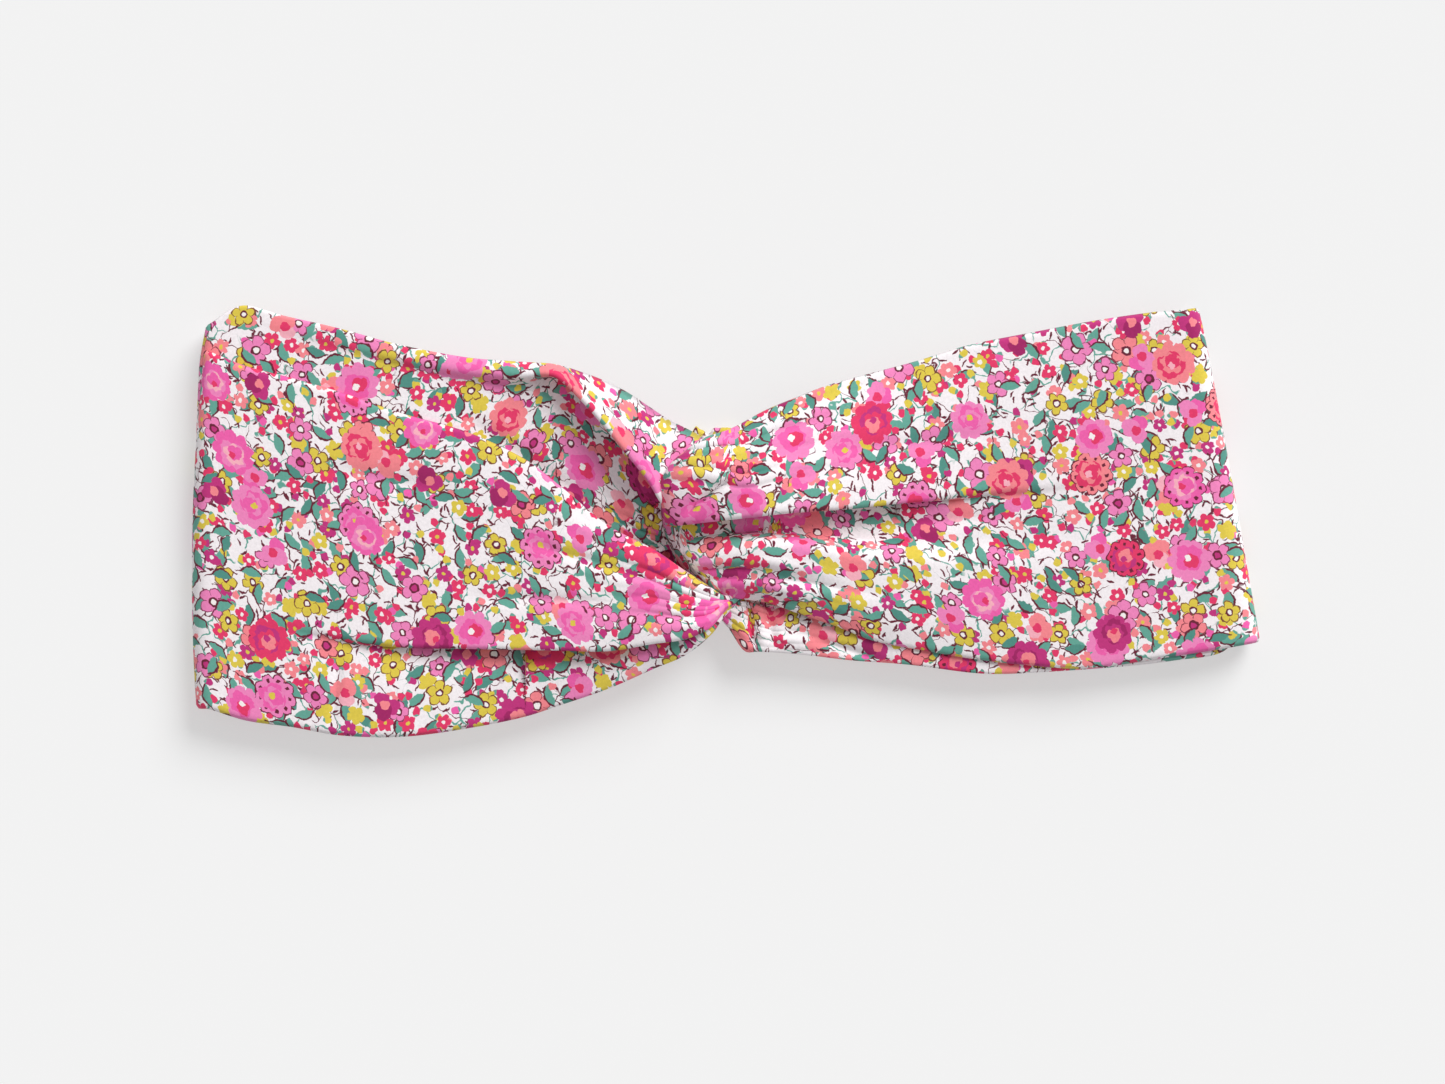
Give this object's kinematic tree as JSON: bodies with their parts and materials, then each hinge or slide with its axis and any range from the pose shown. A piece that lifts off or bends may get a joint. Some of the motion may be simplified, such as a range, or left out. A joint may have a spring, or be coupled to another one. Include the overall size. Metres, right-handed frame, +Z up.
{
  "type": "knotted headband",
  "caption": "Wide twist-front headband of printed cotton: two gathered cloth loops hooked through each other, closed behind by an elastic casing.",
  "frame": {"origin": "centre of the box's underside: the band lies flat with the elastic back on the ground and the knot on top", "axes": "+X along the flattened band, +Y across it towards the upper edge, +Z up through the two layers"},
  "size_m": [0.24, 0.097, 0.0201],
  "materials": {
    "printed_cloth": "crisp plain-weave cotton lawn with a small floral print",
    "casing_cloth": "the same printed lawn, gathered",
    "seam_cloth": "raw folded edge of the printed lawn",
    "elastic": "ribbed woven elastic",
    "thread": "polyester sewing thread"
  },
  "bodies": {
    "elastic_back": {"casing": "casing_cloth", "elastic_strip": "elastic", "casing_hem_stitches": "thread"},
    "back_left": {"left_outer_back": "printed_cloth", "left_inner_back": "printed_cloth", "left_seam": "seam_cloth", "left_seam_stitches": "thread", "left_elastic_tack": "elastic"},
    "side_back_left": {"left_outer_side_back": "printed_cloth", "left_inner_side_back": "printed_cloth"},
    "side_front_left": {"left_outer_side_front": "printed_cloth", "left_inner_side_front": "printed_cloth"},
    "wing_left": {"left_outer_wing": "printed_cloth", "left_inner_wing": "printed_cloth"},
    "knot_left": {"left_bight": "printed_cloth"},
    "back_right": {"right_outer_back": "printed_cloth", "right_inner_back": "printed_cloth", "right_seam": "seam_cloth", "right_seam_stitches": "thread", "right_elastic_tack": "elastic"},
    "side_back_right": {"right_outer_side_back": "printed_cloth", "right_inner_side_back": "printed_cloth"},
    "side_front_right": {"right_outer_side_front": "printed_cloth", "right_inner_side_front": "printed_cloth"},
    "wing_right": {"right_outer_wing": "printed_cloth", "right_inner_wing": "printed_cloth"},
    "knot_right": {"right_bight": "printed_cloth"}
  },
  "joints": [
    {"name": "left_elastic_stretch", "type": "slide", "parent": "elastic_back", "child": "back_left", "axis": [-1, 0, 0], "range_m": [0, 0.01], "stiffness_N_per_m": 160, "deforming": ["casing", "elastic_strip", "casing_hem_stitches"]},
    {"name": "left_back_bend", "type": "hinge", "parent": "back_left", "child": "side_back_left", "pos_m": [-0.0577, 0, 0.0021], "axis": [0, 1, 0], "range_deg": [0, 60]},
    {"name": "left_end_fold", "type": "hinge", "parent": "side_back_left", "child": "side_front_left", "pos_m": [-0.1155, 0, 0.0045], "axis": [0, -1, 0], "range_deg": [0, 120]},
    {"name": "left_front_bend", "type": "hinge", "parent": "side_front_left", "child": "wing_left", "pos_m": [-0.0577, 0, 0.0069], "axis": [0, 1, 0], "range_deg": [0, 60]},
    {"name": "left_knot_slip", "type": "slide", "parent": "wing_left", "child": "knot_left", "axis": [1, 0, 0], "range_m": [0, 0.01]},
    {"name": "right_elastic_stretch", "type": "slide", "parent": "elastic_back", "child": "back_right", "axis": [1, 0, 0], "range_m": [0, 0.01], "stiffness_N_per_m": 160},
    {"name": "right_back_bend", "type": "hinge", "parent": "back_right", "child": "side_back_right", "pos_m": [0.05057, 0.00876, 0.0021], "axis": [0.1707, -0.9853, 0], "range_deg": [0, 60]},
    {"name": "right_end_fold", "type": "hinge", "parent": "side_back_right", "child": "side_front_right", "pos_m": [0.10752, 0.01863, 0.0045], "axis": [-0.1707, 0.9853, 0], "range_deg": [0, 120]},
    {"name": "right_front_bend", "type": "hinge", "parent": "side_front_right", "child": "wing_right", "pos_m": [0.05057, 0.00876, 0.0069], "axis": [0.1707, -0.9853, 0], "range_deg": [0, 60]},
    {"name": "right_knot_slip", "type": "slide", "parent": "wing_right", "child": "knot_right", "axis": [-1, 0, 0], "range_m": [0, 0.01]}
  ],
  "couplings": [
    {"joint": "left_end_fold", "follows": "left_back_bend", "ratio": 2},
    {"joint": "left_front_bend", "follows": "left_back_bend", "ratio": 1},
    {"joint": "right_back_bend", "follows": "left_back_bend", "ratio": 1},
    {"joint": "right_end_fold", "follows": "left_back_bend", "ratio": 2},
    {"joint": "right_front_bend", "follows": "left_back_bend", "ratio": 1},
    {"joint": "right_elastic_stretch", "follows": "left_elastic_stretch", "ratio": 1},
    {"joint": "left_knot_slip", "follows": "left_elastic_stretch", "ratio": 1},
    {"joint": "right_knot_slip", "follows": "left_elastic_stretch", "ratio": 1}
  ]
}
